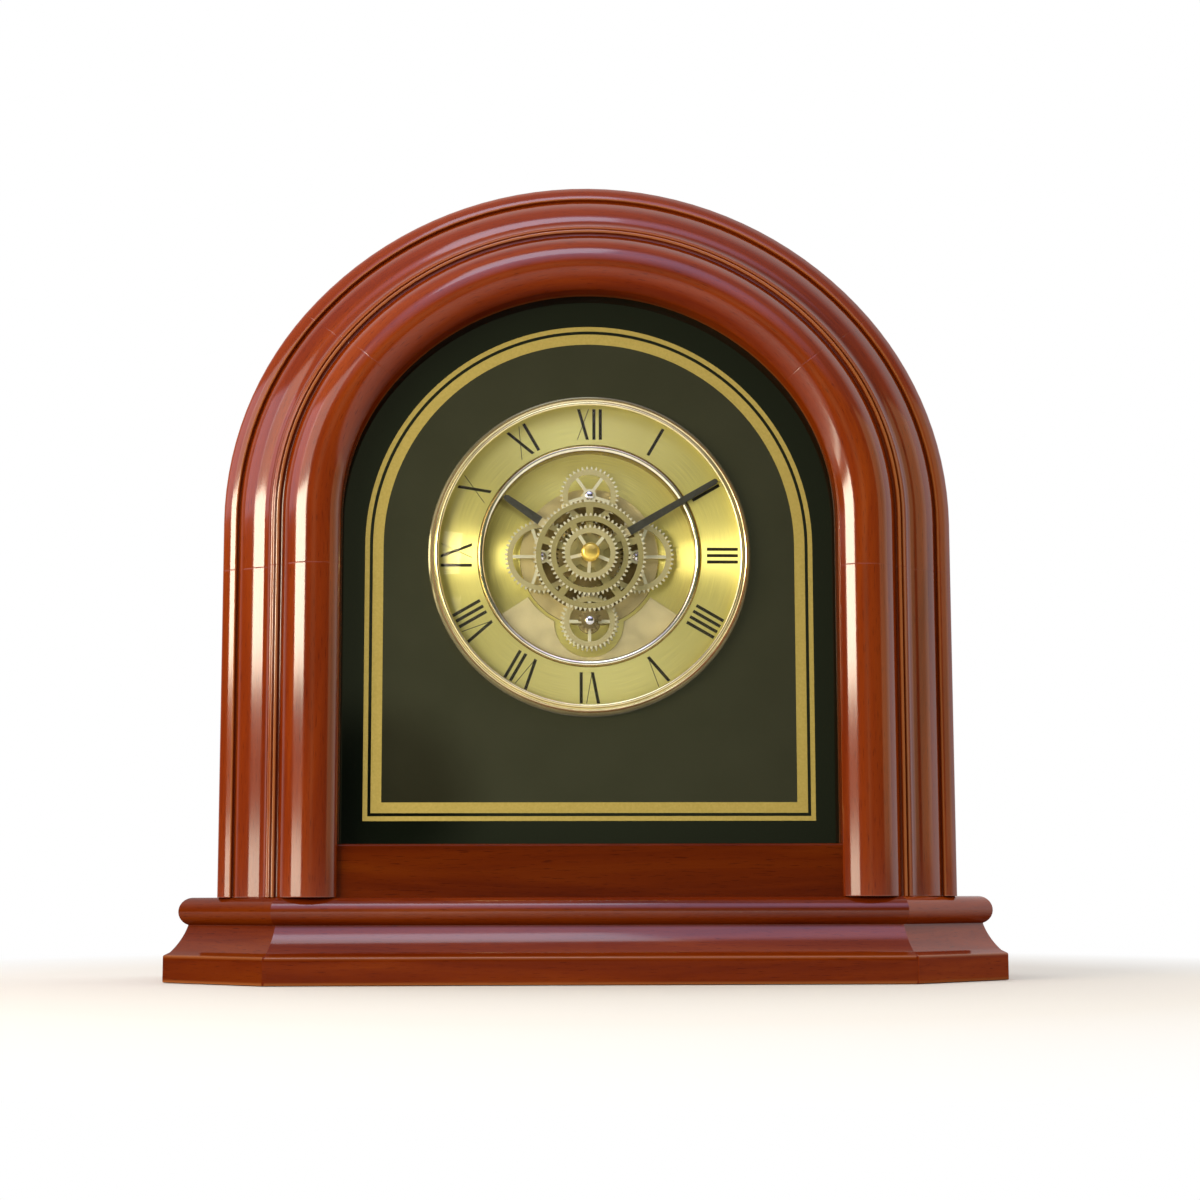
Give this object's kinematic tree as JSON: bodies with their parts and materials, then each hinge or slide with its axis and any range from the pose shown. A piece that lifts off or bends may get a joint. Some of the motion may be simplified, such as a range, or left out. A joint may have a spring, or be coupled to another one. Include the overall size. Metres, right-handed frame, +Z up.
{
  "type": "arch-top mantel clock",
  "caption": "Arch-top mahogany mantel clock on a moulded base with canted corners; round gold dial with roman numerals and an open gear train behind domed glass.",
  "frame": {"origin": "centre of the base's underside, on the surface that the clock stands on", "axes": "+X to the right as seen from the front, +Y from the dial to the back, +Z up"},
  "size_m": [0.284, 0.112, 0.2706],
  "materials": {
    "mahogany": "satin lacquer",
    "stained_board": "thin stain",
    "black_glass": "polished, painted black on the back",
    "clear_glass": "polished",
    "polished_gold": "polished plate",
    "brushed_gold": "brushed plate",
    "satin_gold": "satin plate",
    "gold_gear": "stamped plate",
    "plated_steel": "plated",
    "polished_steel": "polished",
    "black_hand": "satin black",
    "black_plastic": "moulded",
    "battery_jacket": "printed jacket, left plain"
  },
  "bodies": {
    "case": {"base_front_moulding": "mahogany", "base_left_corner_moulding": "mahogany", "base_right_corner_moulding": "mahogany", "base_left_side_moulding": "mahogany", "base_right_side_moulding": "mahogany", "base_rear_rail": "mahogany", "base_board": "mahogany", "frame_left_stile": "mahogany", "frame_right_stile": "mahogany", "frame_arch_left": "mahogany", "frame_arch_right": "mahogany", "frame_arch_crown": "mahogany", "lower_rail": "mahogany", "case_hood": "mahogany", "back_board": "stained_board", "panel_retaining_bead": "stained_board", "glass_panel": "black_glass", "crystal": "clear_glass", "bezel": "polished_gold", "step_ring": "polished_gold", "chapter_ring": "brushed_gold", "dial_plate": "brushed_gold", "sector_plate": "satin_gold", "bridge_plate": "satin_gold", "insert_cup": "plated_steel", "clamp_ring": "plated_steel", "mounting_nut": "polished_gold", "movement_bush": "polished_gold", "satellite_posts": "polished_steel", "satellite_screws": "polished_steel", "movement_housing": "black_plastic", "battery_contacts": "polished_steel", "door_hinge_case_leaves": "polished_gold", "door_hinge_pins": "polished_steel", "door_magnet": "black_plastic", "case_screws": "polished_steel"},
    "back_door": {"back_door": "stained_board", "door_knob": "polished_gold", "door_hinge_door_leaves": "polished_gold", "door_strike_plate": "polished_steel"},
    "minute_work": {"minute_wheel": "gold_gear", "minute_hand": "black_hand", "minute_pipe": "polished_gold"},
    "hour_work": {"hour_wheel": "gold_gear", "hour_hand": "black_hand", "hour_pipe": "polished_gold", "hour_pinion": "gold_gear", "drive_wheel": "gold_gear"},
    "seconds_work": {"seconds_wheel": "gold_gear", "seconds_arbor": "polished_steel", "hub_cap": "polished_gold"},
    "left_satellite": {"left_satellite_wheel": "gold_gear"},
    "right_satellite": {"right_satellite_wheel": "gold_gear"},
    "top_satellite": {"top_satellite_wheel": "gold_gear"},
    "bottom_satellite": {"bottom_satellite_wheel": "gold_gear", "bottom_front_wheel": "gold_gear", "bottom_sleeve": "polished_gold", "bottom_pinion": "gold_gear"},
    "setting_knob": {"setting_knob": "black_plastic"},
    "battery": {"battery": "battery_jacket"}
  },
  "joints": [
    {"name": "minute_turn", "type": "hinge", "parent": "case", "child": "minute_work", "pos_m": [0, -0.04, 0.1411], "axis": [0, 1, 0], "continuous": true},
    {"name": "hour_turn", "type": "hinge", "parent": "case", "child": "hour_work", "pos_m": [0, -0.04, 0.1411], "axis": [0, 1, 0], "continuous": true},
    {"name": "seconds_turn", "type": "hinge", "parent": "case", "child": "seconds_work", "pos_m": [0, -0.04, 0.1411], "axis": [0, 1, 0], "continuous": true},
    {"name": "left_satellite_turn", "type": "hinge", "parent": "case", "child": "left_satellite", "pos_m": [-0.016, -0.04, 0.1411], "axis": [0, 1, 0], "continuous": true},
    {"name": "right_satellite_turn", "type": "hinge", "parent": "case", "child": "right_satellite", "pos_m": [0.016, -0.04, 0.1411], "axis": [0, 1, 0], "continuous": true},
    {"name": "top_satellite_turn", "type": "hinge", "parent": "case", "child": "top_satellite", "pos_m": [0, -0.04, 0.1616], "axis": [0, 1, 0], "continuous": true},
    {"name": "bottom_satellite_turn", "type": "hinge", "parent": "case", "child": "bottom_satellite", "pos_m": [0, -0.04, 0.1191], "axis": [0, 1, 0], "continuous": true},
    {"name": "setting_knob_turn", "type": "hinge", "parent": "case", "child": "setting_knob", "pos_m": [0, -0.04, 0.1411], "axis": [0, 1, 0], "continuous": true},
    {"name": "back_door_hinge", "type": "hinge", "parent": "case", "child": "back_door", "pos_m": [0.0556, 0.0436, 0.13], "axis": [0, 0, -1], "range_deg": [0, 110]},
    {"name": "battery_lift_out", "type": "slide", "parent": "case", "child": "battery", "axis": [0, 1, 0], "range_m": [0, 0.02]}
  ],
  "couplings": [
    {"joint": "hour_turn", "follows": "minute_turn", "ratio": 0.083333},
    {"joint": "seconds_turn", "follows": "minute_turn", "ratio": 60},
    {"joint": "left_satellite_turn", "follows": "minute_turn", "ratio": -0.027778},
    {"joint": "right_satellite_turn", "follows": "minute_turn", "ratio": -0.027778},
    {"joint": "top_satellite_turn", "follows": "minute_turn", "ratio": -0.096491},
    {"joint": "bottom_satellite_turn", "follows": "minute_turn", "ratio": -0.44048},
    {"joint": "setting_knob_turn", "follows": "minute_turn", "ratio": -1}
  ]
}
